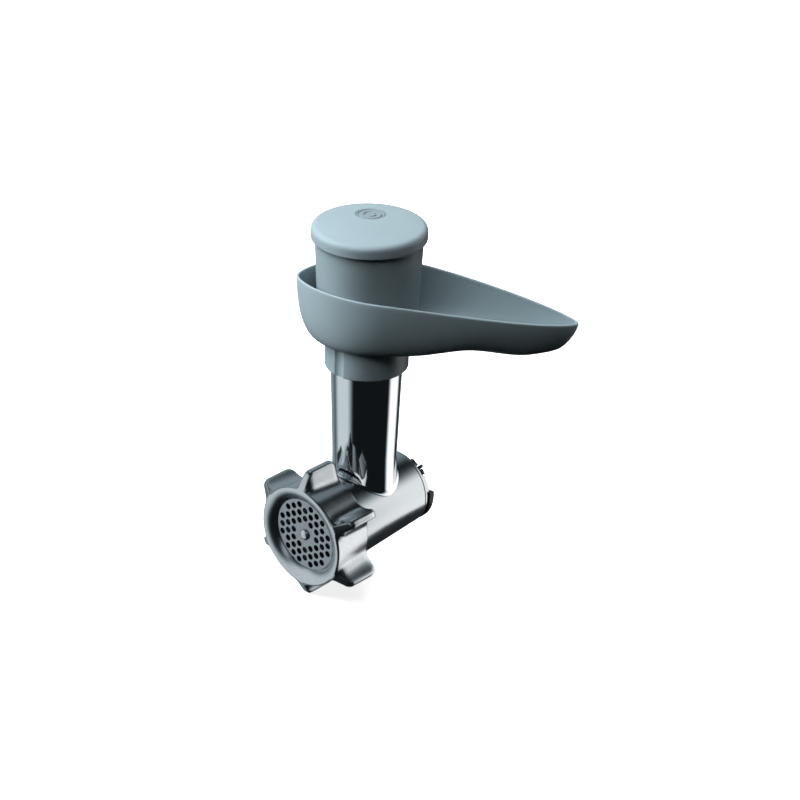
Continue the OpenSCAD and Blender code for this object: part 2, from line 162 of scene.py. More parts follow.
def grid_bmesh(rings, closed_rings=True):
    """A closed surface through a list of rings, each a closed loop with the same point count."""
    bm = bmesh.new()
    made = [[bm.verts.new(p) for p in ring] for ring in rings]
    count = len(made)
    for r in range(count if closed_rings else count - 1):
        a, b = made[r], made[(r + 1) % count]
        for i in range(len(a)):
            j = (i + 1) % len(a)
            bm.faces.new((a[i], a[j], b[j], b[i]))
    if not closed_rings:
        bm.faces.new(made[0])
        bm.faces.new(made[-1])
    return bm


def lathe_bmesh(profile, segments=192):
    """Turns a closed outline of (radius, height) about Z. Points on the axis become poles."""
    bm = bmesh.new()
    columns = []
    for r, h in profile:
        if r < 1e-6:
            columns.append([bm.verts.new((0, 0, h))] * segments)
        else:
            columns.append([
                bm.verts.new((r * math.cos(TAU * i / segments), r * math.sin(TAU * i / segments), h))
                for i in range(segments)
            ])
    for k in range(len(columns)):
        a, b = columns[k], columns[(k + 1) % len(columns)]
        if a[0] is a[1] and b[0] is b[1]:
            continue
        for i in range(segments):
            j = (i + 1) % segments
            corners = []
            for v in (a[i], a[j], b[j], b[i]):
                if v not in corners:
                    corners.append(v)
            bm.faces.new(corners)
    return bm


def cylinder_bmesh(radius, low, high, segments):
    """A solid cylinder about Z between two heights."""
    return lathe_bmesh([(0, low), (radius, low), (radius, high), (0, high)], segments)


def lathe(name, profile, place, segments=192):
    return finish_mesh(name, lathe_bmesh(rounded(profile), segments), place)


def helix_bmesh(root, section, start, turns, pitch, side=1):
    """Sweeps a closed section of (height, along) around the forward axis, with tapered ends.

    The ridge stands out from the root radius, or inwards where side is -1."""
    count = int(turns * STEPS_PER_TURN)
    rings = []
    for i in range(count + 1):
        turn = i / STEPS_PER_TURN
        fade = min(1, RIDGE_TAPER * turn, RIDGE_TAPER * (turns - turn)) ** 0.5
        angle = TAU * turn
        ring = []
        for height, along in section:
            radius = root + side * height * (fade if height > 0 else 1)
            ring.append((radius * math.cos(angle), radius * math.sin(angle),
                         start + pitch * turn
                         + along * (TAPERED_WIDTH + (1 - TAPERED_WIDTH) * fade)))
        rings.append(ring)
    return grid_bmesh(rings, closed_rings=False)


def apply_boolean(piece, cutter_bm, cutter_place, operation="DIFFERENCE"):
    """Cuts or joins a second mesh, given in millimetres, and leaves no modifier behind."""
    cutter = finish_mesh("cutter", cutter_bm, cutter_place)
    modifier = piece.modifiers.new("cut", "BOOLEAN")
    modifier.operation = operation
    modifier.solver = "EXACT"
    modifier.object = cutter
    settle(piece)
    bpy.data.objects.remove(cutter)


def resharpen(piece, sharp=35):
    """Sets smooth and sharp edges again after a boolean has changed the mesh."""
    bm = bmesh.new()
    bm.from_mesh(piece.data)
    mark_edges(bm, sharp)
    bm.to_mesh(piece.data)
    bm.free()


def settle(piece):
    """Applies every modifier of a piece to its mesh."""
    graph = bpy.context.evaluated_depsgraph_get()
    mesh = bpy.data.meshes.new_from_object(piece.evaluated_get(graph))
    piece.modifiers.clear()
    piece.data = mesh


def bezier(p, t):
    u = 1 - t
    return u ** 3 * p[0] + 3 * t * u * u * p[1] + 3 * t * t * u * p[2] + t ** 3 * p[3]


def clamp01(v):
    return max(0.0, min(1.0, v))


def smooth(v):
    v = clamp01(v)
    return v * v * (3 - 2 * v)


def attach(piece, body, slot, material, *replaced):
    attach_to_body(piece, body)
    if replaced:
        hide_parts(*replaced)
    piece.data.materials.clear()
    piece.data.materials.append(material)
    return piece


# --- Materials -------------------------------------------------------------------------

NOISE_RANGE = (0.3, 0.7)


class Shader:
    """A node material with a few short ways to add noise, ranges and bumps."""

    def __init__(self, name, **sockets):
        self.material = bpy.data.materials.new(name)
        self.material.use_nodes = True
        self.tree = self.material.node_tree
        self.out = next(n for n in self.tree.nodes if n.type == "BSDF_PRINCIPLED")
        self.coords = self.tree.nodes.new("ShaderNodeTexCoord").outputs["Object"]
        for socket, value in sockets.items():
            self.out.inputs[socket.replace("_", " ")].default_value = value

    def node(self, kind, **values):
        node = self.tree.nodes.new(kind)
        for key, value in values.items():
            if isinstance(value, bpy.types.NodeSocket):
                self.tree.links.new(value, node.inputs[key.replace("_", " ")])
            elif key.replace("_", " ") in node.inputs:
                node.inputs[key.replace("_", " ")].default_value = value
            else:
                setattr(node, key, value)
        return node

    def stretched(self, scale):
        return self.node("ShaderNodeMapping", Vector=self.coords, Scale=scale).outputs["Vector"]

    def noise(self, scale=(1, 1, 1), size=1000.0, detail=3.0, rough=0.55):
        return self.node("ShaderNodeTexNoise", Vector=self.stretched(scale), Scale=size,
                         Detail=detail, Roughness=rough).outputs["Fac"]

    def spread(self, value, low, high):
        node = self.node("ShaderNodeMapRange")
        self.tree.links.new(value, node.inputs["Value"])
        node.inputs["From Min"].default_value, node.inputs["From Max"].default_value = NOISE_RANGE
        node.inputs["To Min"].default_value, node.inputs["To Max"].default_value = low, high
        return node.outputs["Result"]

    def mix_colors(self, factor, dark, light):
        node = self.tree.nodes.new("ShaderNodeMix")
        node.data_type = "RGBA"
        self.tree.links.new(factor, node.inputs[0])
        node.inputs[6].default_value = (*dark, 1)
        node.inputs[7].default_value = (*light, 1)
        self.tree.links.new(node.outputs[2], self.out.inputs["Base Color"])

    def set(self, socket, value):
        self.tree.links.new(value, self.out.inputs[socket])

    def bump(self, height, strength, distance):
        node = self.node("ShaderNodeBump")
        node.inputs["Strength"].default_value = strength
        node.inputs["Distance"].default_value = distance
        self.tree.links.new(height, node.inputs["Height"])
        last = self.out.inputs["Normal"].links
        if last:
            self.tree.links.new(last[0].from_socket, node.inputs["Normal"])
        self.tree.links.new(node.outputs["Normal"], self.out.inputs["Normal"])


def scaled(color, factor):
    return tuple(min(1.0, c * factor) for c in color)


def plastic(name, color, roughness=0.42, grain=1.0):
    """Moulded plastic: a fine spark-eroded grain, a slow change of colour, and handling marks."""
    s = Shader(name, IOR=1.5, Specular_IOR_Level=0.5)
    s.mix_colors(s.spread(s.noise(size=14, detail=2), 0, 1), scaled(color, 0.95), scaled(color, 1.05))
    s.set("Roughness", s.spread(s.noise(size=60, detail=4), roughness - 0.05, roughness + 0.06))
    s.bump(s.noise(size=2600, detail=2), 0.22 * grain, 0.00012)
    s.bump(s.noise(size=420, detail=2), 0.06 * grain, 0.0002)
    return s.material


def turned_metal(name, color, roughness, along, fine=1.0, spread=0.07):
    """Metal finished in one direction; along is the axis across which its fine lines change."""
    lines = [4.0, 4.0, 4.0]
    lines["xyz".index(along)] = 900.0 * fine
    s = Shader(name, Metallic=1.0)
    streaks = s.noise(scale=tuple(lines), size=5, detail=5, rough=0.7)
    s.mix_colors(s.spread(streaks, 0, 1), scaled(color, 0.95), scaled(color, 1.03))
    s.set("Roughness", s.spread(streaks, roughness - spread, roughness + spread))
    s.bump(streaks, 0.03, 0.00005)
    s.bump(s.noise(size=35, detail=2), 0.03, 0.0004)
    return s.material


def cast_metal(name, color, roughness, grain=0.2):
    """Blasted or tumbled metal, matt in its grain and rubbed brighter in patches."""
    s = Shader(name, Metallic=1.0)
    s.mix_colors(s.spread(s.noise(size=900, detail=4), 0, 1), scaled(color, 0.9), scaled(color, 1.06))
    s.set("Roughness", s.spread(s.noise(size=45, detail=3), roughness - 0.03, roughness + 0.03))
    s.bump(s.noise(size=1700, detail=3), grain, 0.0001)
    return s.material


def polished_metal(name, color, roughness):
    """Mirror finish with the faintest polishing haze."""
    s = Shader(name, Metallic=1.0)
    haze = s.noise(scale=(1, 1, 0.25), size=120, detail=5, rough=0.65)
    s.mix_colors(s.spread(haze, 0, 1), scaled(color, 0.96), color)
    s.set("Roughness", s.spread(haze, roughness * 0.7, roughness * 1.5))
    s.bump(s.noise(size=60, detail=1), 0.02, 0.0003)
    return s.material


def rubber(name, color):
    s = Shader(name)
    s.mix_colors(s.spread(s.noise(size=300), 0, 1), scaled(color, 0.8), scaled(color, 1.3))
    s.set("Roughness", s.spread(s.noise(size=200, detail=4), 0.6, 0.8))
    s.bump(s.noise(size=1500, detail=2), 0.2, 0.0001)
    return s.material


BLUE_GREY = (0.235, 0.31, 0.345)
tray_plastic = plastic("tray_plastic", BLUE_GREY, 0.38)
# Painted shade: the pusher's and the lid's plastic is the tray's blue-grey darkened to 0.85 and 0.88, so
# that their sides and top show less of the lamps' light.
pusher_plastic = plastic("pusher_plastic", scaled(BLUE_GREY, 0.85), 0.42)
lid_plastic = plastic("lid_plastic", scaled(BLUE_GREY, 0.88), 0.42)
badge_plastic = plastic("badge_plastic", scaled(BLUE_GREY, 0.7), 0.3, grain=0.4)
black_plastic = plastic("black_plastic", (0.018, 0.02, 0.022), 0.4)
washer_plastic = plastic("washer_plastic", (0.75, 0.75, 0.7), 0.35)
barrel_metal = turned_metal("barrel_metal", (0.66, 0.69, 0.71), 0.23, "y", spread=0.03)
tube_metal = polished_metal("tube_metal", (0.86, 0.89, 0.9), 0.07)
nut_metal = cast_metal("nut_metal", (0.74, 0.76, 0.78), 0.26, grain=0.06)
worm_metal = cast_metal("worm_metal", (0.62, 0.63, 0.65), 0.4)
plate_metal = turned_metal("plate_metal", (0.42, 0.45, 0.48), 0.34, "x", fine=0.6)
spare_metal = turned_metal("spare_metal", (0.5, 0.52, 0.54), 0.3, "x", fine=0.6)
knife_metal = turned_metal("knife_metal", (0.5, 0.51, 0.53), 0.25, "x")
shaft_metal = turned_metal("shaft_metal", (0.75, 0.76, 0.78), 0.16, "y")
screw_metal = cast_metal("screw_metal", (0.42, 0.43, 0.45), 0.35)
bronze = cast_metal("bronze", (0.55, 0.4, 0.2), 0.4)
seal_rubber = rubber("seal_rubber", (0.02, 0.02, 0.022))

# --- Barrel and feed tube --------------------------------------------------------------

REAR_R = 27.3
BORE_R = 24.6
REAR_WALL = 8
REAR_HOLE_R = 9.5
NECK_ROOT_R = 28.8
SEAT_DEEP = 5.1
KNIFE_ROOM_R = 26
WORM_GAP = 11
BODY_SEGMENTS = 256
FINE_SEGMENTS = 192
SMALL_SEGMENTS = 128
TAB_LEN = 2.2
TAB_THICK = 2.2
TAB_SPANS = ((22, 35), (54, 79))
THREAD_PITCH = 3.5
BARREL_THREAD_TURNS = 3.4
NUT_THREAD_TURNS = 3.2
THREAD_START = barrel_front - 14
TUBE_LOW_R = 22.4
TUBE_LOW_Z = 44
TUBE_STRAIGHT_Z = 110
TUBE_WALL = 1.6
TUBE_FLARE = 1.5
TUBE_FLARE_RISE = 2.2
THROAT_CUT_HIGH = 60


def barrel_r(fwd):
    return REAR_R + (barrel_front_r - REAR_R) * clamp01(fwd / nut_rear)


def arc_block_bmesh(r_out, r_in, low, high, start, end):
    """A block between two radii, two forward distances and two angles clockwise from the top."""
    section = rounded([(r_in, low, 0.2), (r_out, low, 0.5), (r_out, high), (r_in, high)], 3)
    count = max(4, int((end - start) / 2))
    rings = []
    for k in range(count + 1):
        turn = math.radians(start + (end - start) * k / count)
        rings.append([(r * math.sin(turn), r * math.cos(turn), f) for r, f in section])
    return grid_bmesh(rings, closed_rings=False)


def make_housing():
    seat_r = plate_r + 0.15
    profile = [
        (REAR_HOLE_R, 0, 0.3), (REAR_R - 0.2, 0, 0.6), (REAR_R + 0.1, 1.9, 0.15),
        (REAR_R - 0.25, 2.1, 0.1), (REAR_R - 0.25, 2.6, 0.1), (barrel_r(2.9), 2.9, 0.2),
        (barrel_front_r, nut_rear, 0), (barrel_front_r, THREAD_START - 4, 0.4),
        (NECK_ROOT_R, THREAD_START - 2, 0.4), (NECK_ROOT_R, barrel_front, 0.7),
        (seat_r, barrel_front, 0.2), (seat_r, plate_front - SEAT_DEEP),
        (KNIFE_ROOM_R, plate_front - SEAT_DEEP, 0.2), (KNIFE_ROOM_R, plate_front - WORM_GAP, 0.3),
        (BORE_R, plate_front - WORM_GAP - 2, 0.5), (BORE_R, REAR_WALL, 1),
        (REAR_HOLE_R, REAR_WALL, 0.3),
    ]
    piece = lathe("barrel_housing", profile, ALONG_BARREL, BODY_SEGMENTS)
    tab_r = REAR_R - 0.2
    for half in (0, 180):
        for low, high in TAB_SPANS:
            tab = arc_block_bmesh(tab_r, tab_r - TAB_THICK, -TAB_LEN, 1, low + half, high + half)
            apply_boolean(piece, tab, ALONG_BARREL, "UNION")
    throat = cylinder_bmesh(TUBE_LOW_R - TUBE_WALL, 0, THROAT_CUT_HIGH, FINE_SEGMENTS)
    apply_boolean(piece, throat, ON_TUBE)
    resharpen(piece)
    return attach(piece, "barrel", "barrel_metal", barrel_metal, "housing")


THREAD_RIDGE = [(-0.5, -0.9), (0.7, -0.5), (0.95, -0.2), (0.95, 0.2), (0.7, 0.5), (-0.5, 0.9)]


def make_barrel_thread():
    bm = helix_bmesh(NECK_ROOT_R, THREAD_RIDGE, THREAD_START, BARREL_THREAD_TURNS, THREAD_PITCH)
    piece = finish_mesh("barrel_thread", bm, ALONG_BARREL)
    return attach(piece, "barrel", "barrel_metal", barrel_metal)


def saddle_z(x, y):
    """Height of the barrel's outside under a point, measured from the barrel's axis."""
    radius = barrel_r(-y)
    return math.sqrt(max(radius ** 2 - x * x, 1.0))


def make_feed_tube():
    columns = []
    wall_in, top_in = TUBE_LOW_R - TUBE_WALL, tube_high_r - TUBE_WALL
    for i in range(BODY_SEGMENTS):
        turn = TAU * i / BODY_SEGMENTS
        across, along = math.cos(turn), math.sin(turn)

        def on_barrel(radius):
            return saddle_z(radius * across, radius * along - tube_fwd)

        foot, toe = on_barrel(TUBE_LOW_R), on_barrel(TUBE_LOW_R + TUBE_FLARE)
        column = [
            (wall_in, foot - 1.5), (wall_in, TUBE_LOW_Z), (top_in, TUBE_STRAIGHT_Z),
            (top_in, tube_top - 0.7), (top_in + 0.3, tube_top - 0.15),
            (tube_high_r - TUBE_WALL / 2, tube_top), (tube_high_r - 0.3, tube_top - 0.15),
            (tube_high_r, tube_top - 0.7), (tube_high_r, TUBE_STRAIGHT_Z), (TUBE_LOW_R, TUBE_LOW_Z),
        ]
        for k in range(9):
            t = k / 8
            z = quadratic(foot + TUBE_FLARE_RISE, foot + 0.5, toe + 0.25, t)
            column.append((TUBE_LOW_R + TUBE_FLARE * t * t, z))
        column.append((TUBE_LOW_R + TUBE_FLARE + 0.15, toe - 0.2))
        column.append((TUBE_LOW_R + TUBE_FLARE - 0.3, toe - 1.2))
        columns.append([(r * across, r * along, z) for r, z in column])
    rows = [list(row) for row in zip(*columns)]
    piece = finish_mesh("polished_feed_tube", grid_bmesh(rows), ON_TUBE)
    return attach(piece, "barrel", "polished_tube", tube_metal, "feed_tube")


# --- Ring nut --------------------------------------------------------------------------

LOBES = 6
LOBE_CORNER = 5
NUT_REAR_R = 33.6
RIM_CORNER = 1.1
LOBE_EDGE = 1.6
RIM_R = 36.2
MOUTH_R = 26.1
DISH_WIDE = 8.1
DISH_DEEP = 4.6
DISH_BEND = (2.9, 3.75)
NUT_BORE_R = 30.3
NUT_STEPS = (
    0.6, 1.2, 2, 3, 4, 5, 9, 14, 18, 22, 22.8, 23.5, 24.2, 24.8, 25.4, 26, 27, 28, 29, 30, 30.9,
)


def lobe_section():
    """Half of a lobe's section: (half width, share of the height), from its tip to its foot."""
    tip = [(0, 1), (1.1, 0.997), (1.9, 0.985), (2.45, 0.955), (2.75, 0.91)]
    start, pull, push, foot = (Vector(p) for p in ((2.75, 0.91), (3.9, 0.27), (5.6, 0), (11.5, 0)))
    return tip + [tuple(bezier((start, pull, push, foot), k / 12)) for k in range(1, 13)]


def nut_ring(body_r, tip_r, fwd):
    half = lobe_section()
    section = [(-w, h) for w, h in reversed(half[1:])] + half
    foot_turn = math.asin(half[-1][0] / body_r)
    gap = TAU / LOBES - 2 * foot_turn
    ring = []
    for lobe in range(LOBES):
        middle = TAU * lobe / LOBES
        for w, h in section:
            base = math.sqrt(body_r ** 2 - w * w)
            up = base + (tip_r - body_r) * h
            ring.append((
                up * math.sin(middle) + w * math.cos(middle),
                up * math.cos(middle) - w * math.sin(middle),
                fwd,
            ))
        for k in range(1, 8):
            turn = middle + foot_turn + gap * k / 8
            ring.append((body_r * math.sin(turn), body_r * math.cos(turn), fwd))
    return ring


def make_ring_nut():
    rim_start = nut_front - RIM_CORNER

    def body_at(fwd):
        return NUT_REAR_R + (RIM_R - NUT_REAR_R) * clamp01((fwd - nut_rear) / (rim_start - nut_rear))

    def tip_at(fwd):
        rear, front = nut_rear + LOBE_CORNER, plate_front - LOBE_CORNER
        if fwd < rear:
            return nut_tip_r - LOBE_CORNER + math.sqrt(LOBE_CORNER ** 2 - (rear - fwd) ** 2)
        if fwd < front:
            return nut_tip_r
        arc_end, end_r = front + 0.8 * LOBE_CORNER, nut_tip_r - 0.4 * LOBE_CORNER
        if fwd < arc_end:
            return nut_tip_r - LOBE_CORNER + math.sqrt(LOBE_CORNER ** 2 - (fwd - front) ** 2)
        return end_r + (RIM_R + LOBE_EDGE - end_r) * (fwd - arc_end) / (rim_start - arc_end)

    rings = []
    for inset, fwd in ((1.0, 0), (0.45, 0.06), (0.12, 0.25)):
        at = nut_rear + fwd
        rings.append(nut_ring(body_at(at) - inset, tip_at(at) - inset, at))
    for step in NUT_STEPS:
        at = nut_rear + step
        rings.append(nut_ring(body_at(at), tip_at(at), at))
    rim = [(0.15, 1.1, 0.6), (0.5, 0.7, 0.28), (1.0, 0.35, 0.08), (1.6, 0.1, 0)]
    rings += [nut_ring(RIM_R - d, RIM_R - d + bump, nut_front - low) for d, bump, low in rim]
    edge, crest = Vector((MOUTH_R, nut_front - DISH_DEEP)), Vector((MOUTH_R + DISH_WIDE, nut_front))
    bend = edge + Vector(DISH_BEND)
    mouth = [tuple(quadratic(crest, bend, edge, k / 12)) for k in range(13)]
    mouth += [
        (MOUTH_R + 0.05, plate_front + 0.15),
        (plate_r + 0.55, plate_front + 0.1), (plate_r + 0.55, barrel_front + 0.4),
        (NUT_BORE_R, barrel_front + 0.4), (NUT_BORE_R, THREAD_START),
        (barrel_front_r + 0.6, THREAD_START), (barrel_front_r + 0.6, nut_rear + 0.6),
        (barrel_front_r + 1.1, nut_rear),
    ]
    rings += [nut_ring(r, r, f) for r, f in mouth]
    piece = finish_mesh("grip_ring_nut", grid_bmesh(rings), ALONG_BARREL, sharp=40)
    return attach(piece, "nut", "nut_metal", nut_metal, "ring_nut")


def make_nut_thread():
    start = THREAD_START + THREAD_PITCH / 2
    bm = helix_bmesh(NUT_BORE_R, THREAD_RIDGE, start, NUT_THREAD_TURNS, THREAD_PITCH, side=-1)
    piece = finish_mesh("nut_thread", bm, ALONG_BARREL)
    return attach(piece, "nut", "nut_metal", nut_metal)


# --- Tray ------------------------------------------------------------------------------

TRAY_DIR = math.radians(40)
TRAY_BACK = 47.8
TRAY_NOSE = 140.6
TRAY_BASE_Z = 131
FLOOR_THICK = 2.5
THROAT_R = 22.6
COLLAR_R = 28.4
COLLAR_BORE_R = tube_high_r + 0.4
NOSE_SHARP = 1.3
KNEE_AT = 0.96
RIM_ROUND = 0.9
ARCH_HIGH, ARCH_FROM, ARCH_LEN = 3, 26, 84
NOSE_DROP, DROP_FROM, DROP_EASE = 4.2, 60, 50
FALL, FALL_FROM, FALL_EASE = 0.1075, 15, 30
GROOVE_R, GROOVE_TURN, GROOVE_AXIS_OUT = 7, 2, 5.6
WALL_POWER, WALL_POWER_GAIN = 0.8, 0.55
INWARDS_ROUND, INWARDS_EVEN = 0.9, 0.1
FLOOR_SHARES = (0.15, 0.3, 0.5, 0.7, 0.85, 0.93, 1)
WALL_ANGLES = (0, 2, 4, 7, 11, 16, 21, 27, 33, 39, 45, 51, 57, 63, 69, 75, 80, 85, 90)
LIP_ROUND = ((0.96, 0.5), (0.85, 0.17), (0.68, 0.02), (0.5, 0), (0.32, 0.02), (0.15, 0.17), (0.04, 0.5))
CURVE_STEPS = 56

RIM_OUTER = (
    ((-TRAY_BACK, 0), (-TRAY_BACK, 12), (-21.5, 39.4), (12, 39.4)),
    ((12, 39.4), (50, 39.4), (TRAY_NOSE - 10.7, 19.5), (TRAY_NOSE + NOSE_SHARP, 0)),
)
RIM_INNER = (
    ((-46, 0), (-46, 11.2), (-20.8, 37.6), (12, 37.6)),
    ((12, 37.6), (48.5, 37.6), (TRAY_NOSE - 13.2, 17.4), (TRAY_NOSE - 1.2, 0)),
)
BASE_OUTER = (
    ((-33, 0), (-33, 16), (-20, 30), (6, 30)),
    ((6, 30), (40, 30), (TRAY_NOSE - 22.2, 13.5), (TRAY_NOSE - 13, 0)),
)


def half_outline(curves):
    """Points of half an outline, from the round end to the nose, whose tip is rounded off."""
    back, front = ([Vector(p) for p in curve] for curve in curves)
    points = [bezier(back, k / CURVE_STEPS) for k in range(CURVE_STEPS)]
    points += [bezier(front, KNEE_AT * k / CURVE_STEPS) for k in range(CURVE_STEPS)]
    knee = bezier(front, KNEE_AT)
    slope = bezier(front, KNEE_AT + 0.001) - knee
    tip = Vector((front[3].x - NOSE_SHARP, 0))
    turn = knee + slope * (tip.x - knee.x) / slope.x
    return points + [quadratic(knee, turn, tip, k / 6) for k in range(7)]


def whole_outline(half):
    return half + [Vector((p.x, -p.y)) for p in reversed(half[1:-1])]


def rim_fall(s):
    """How far the rim has fallen at a distance towards the nose."""
    v = s - FALL_FROM
    return FALL * (v + math.sqrt(v * v + FALL_EASE ** 2))


def rim_z(s):
    """Height of the tray's rim: level around the pusher, then falling steadily to the nose."""
    return tray_rim_high + rim_fall(-TRAY_BACK) - rim_fall(s)


def base_z(s):
    """Height of the tray's underside, which arches behind the nose and drops at it."""
    arch = ARCH_HIGH * math.sin(math.pi * clamp01((s - ARCH_FROM) / ARCH_LEN)) ** 2
    return TRAY_BASE_Z + arch - NOSE_DROP * smooth((s - DROP_FROM) / DROP_EASE)


def make_tray():
    outer, inner, base = (whole_outline(half_outline(c)) for c in (RIM_OUTER, RIM_INNER, BASE_OUTER))
    count = len(outer)

    def wall(rim, turn, lift):
        """One ring of a bowed wall, from the rim where turn is 0 to the base where it is 90 deg."""
        ring = []
        for i in range(count):
            noseward = (rim[i].x + TRAY_BACK) / (TRAY_BACK + TRAY_NOSE)
            power = WALL_POWER + WALL_POWER_GAIN * noseward ** 2
            down = math.sin(turn) ** power
            bowed = 1 - max(math.cos(turn), 0) ** power
            inwards = INWARDS_ROUND * bowed + INWARDS_EVEN * down
            p = rim[i].lerp(base[i], inwards)
            top, bottom = rim_z(rim[i].x) - RIM_ROUND, base_z(base[i].x) + lift
            ring.append((p.x, p.y, top + (bottom - top) * down))
        return ring

    def floor(share, lift):
        ring = []
        for p in base:
            q = p.lerp(p.normalized() * THROAT_R, share)
            ring.append((q.x, q.y, base_z(q.x) + lift))
        return ring

    def lip(share, drop):
        return [
            (*outer[i].lerp(inner[i], share), rim_z(outer[i].lerp(inner[i], share).x) - drop)
            for i in range(count)
        ]

    quarter = [math.radians(a) for a in WALL_ANGLES]
    rings = [wall(outer, a, 0) for a in quarter]
    rings += [floor(share, 0) for share in FLOOR_SHARES]
    rings += [floor(share, FLOOR_THICK) for share in reversed(FLOOR_SHARES)]
    rings += [wall(inner, a, FLOOR_THICK) for a in reversed(quarter)]
    rings += [lip(share, drop) for share, drop in LIP_ROUND]
    place = ON_TUBE @ Matrix.Rotation(TRAY_DIR, 4, "Z")
    piece = finish_mesh("hopper_tray_shell", grid_bmesh(rings), place, sharp=60)
    collar = lathe_bmesh(rounded([
        (COLLAR_BORE_R, collar_low, 0.5), (COLLAR_R, collar_low, 1.2),
        (COLLAR_R, TRAY_BASE_Z + 1.2), (COLLAR_BORE_R, TRAY_BASE_Z + 1.2),
    ]), FINE_SEGMENTS)
    apply_boolean(piece, collar, ON_TUBE, "UNION")
    groove = cylinder_bmesh(GROOVE_R, collar_low - 1, TRAY_BASE_Z - 0.5, SMALL_SEGMENTS)
    turn = Matrix.Rotation(math.radians(GROOVE_TURN), 4, "Z")
    out = Matrix.Translation((0, -(COLLAR_R + GROOVE_AXIS_OUT) * MM, 0))
    apply_boolean(piece, groove, ON_TUBE @ turn @ out)
    resharpen(piece, 50)
    return attach(piece, "tray", "tray_plastic", tray_plastic, "hopper_tray")


# --- Pusher ----------------------------------------------------------------------------

PLUNGER_R = 20.2
HEAD_LOW_R = 33.5
HEAD_FLOOR_Z = 140
HEAD_WALL = 2.2
FOOT_R = 29
FOOT_LIP_R = 24
PLUNGER_WALL = 2.4
PLUNGER_END = 3


def make_pusher():
    inner_r = head_top_r - HEAD_WALL
    foot_z, ledge_z = TRAY_BASE_Z + FLOOR_THICK + 0.9, HEAD_FLOOR_Z + 2.6
    profile = [
        (PLUNGER_R, foot_z + 1), (FOOT_LIP_R, foot_z + 1), (FOOT_LIP_R, foot_z, 0.3),
        (FOOT_R, foot_z, 0.5), (FOOT_R, HEAD_FLOOR_Z + 1, 1), (FOOT_R + 2, HEAD_FLOOR_Z + 1.2, 1),
        (HEAD_LOW_R, HEAD_FLOOR_Z + 8, 5),
        (head_top_r, head_top - 6, 1), (head_top_r, head_top, 0.5), (inner_r, head_top, 0.5),
        (inner_r, head_top - 6, 1), (HEAD_LOW_R - HEAD_WALL, HEAD_FLOOR_Z + 10, 3),
        (HEAD_LOW_R - HEAD_WALL - 3, ledge_z, 1), (PLUNGER_R, ledge_z),
    ]
    piece = lathe("pusher_head_shell", profile, ON_TUBE, BODY_SEGMENTS)
    attach(piece, "pusher", "pusher_plastic", pusher_plastic, "pusher_head")
    bore_r = PLUNGER_R - PLUNGER_WALL
    profile = [
        (0, plunger_low), (PLUNGER_R, plunger_low, 2), (PLUNGER_R, ledge_z, 0.2), (bore_r, ledge_z, 0.4),
        (bore_r, plunger_low + PLUNGER_END, 1.5), (0, plunger_low + PLUNGER_END),
    ]
    piece = lathe("plunger_tube", profile, ON_TUBE, FINE_SEGMENTS)
    attach(piece, "pusher", "pusher_plastic", pusher_plastic, "plunger")


BADGE_R = 9.8
BADGE_GAP = 0.35
CROWN_R, CROWN_DROP = 34, 1.6


def make_lid():
    inner_r = head_top_r - HEAD_WALL
    crown = [Vector((r, lid_high - CROWN_DROP * (r / CROWN_R) ** 2)) for r in range(30, -1, -2)]
    profile = rounded([
        (head_top_r + 0.4, head_top + 0.3, 0.3), (head_top_r + 0.4, lid_low, 0.4), (lid_r, lid_low, 0.7),
        (lid_r, lid_high - 2.05, 5.5), crown[0].to_tuple(),
    ], 10) + crown[1:]
    profile += [Vector(p) for p in (
        (0, head_top + 1.3), (inner_r - 3, head_top + 1.3), (inner_r - 3, head_top - 4),
        (inner_r - 1, head_top - 4), (inner_r - 1, head_top + 0.3),
    )]
    piece = finish_mesh("pusher_lid_shell", lathe_bmesh(profile, BODY_SEGMENTS), ON_TUBE)
    recess = cylinder_bmesh(BADGE_R + BADGE_GAP, badge_low, lid_high + 3, SMALL_SEGMENTS)
    apply_boolean(piece, recess, AT_BADGE)
    resharpen(piece, 30)
    return attach(piece, "lid", "lid_plastic", lid_plastic, "pusher_lid")


def make_badge():
    rows = [
        (0, 0), (BADGE_R - 0.2, 0, 0.2), (BADGE_R - 0.2, 0.9, 0.25), (BADGE_R - 1.2, 0.95, 0.1),
        (BADGE_R - 1.5, 0.35, 0.1), (BADGE_R - 2.1, 0.35, 0.1), (BADGE_R - 2.4, 0.95, 0.15),
        (4.6, 1.0, 0.2), (4.3, 0.35, 0.1), (3.7, 0.35, 0.1), (3.4, 1.0, 0.15), (0, 1.05),
    ]
    piece = lathe("lid_mark", rows, AT_BADGE @ Matrix.Translation((0, 0, badge_low * MM)), SMALL_SEGMENTS)
    return attach(piece, "lid", "lid_plastic", badge_plastic, "lid_badge")


# --- Worm ------------------------------------------------------------------------------

WORM_TURNS = 3.25
WORM_CORE_R = 9
WORM_R = 24.2
WORM_REAR = 11.5
WORM_FLANGE_R = 16
SHAFT_SEAT_R, SHAFT_SEAT_DEEP = 6.05, 22.9
SPINDLE_SEAT_R = 5.02
FLIGHT_ROOT_DEG, FLIGHT_TIP_DEG = 35, 12


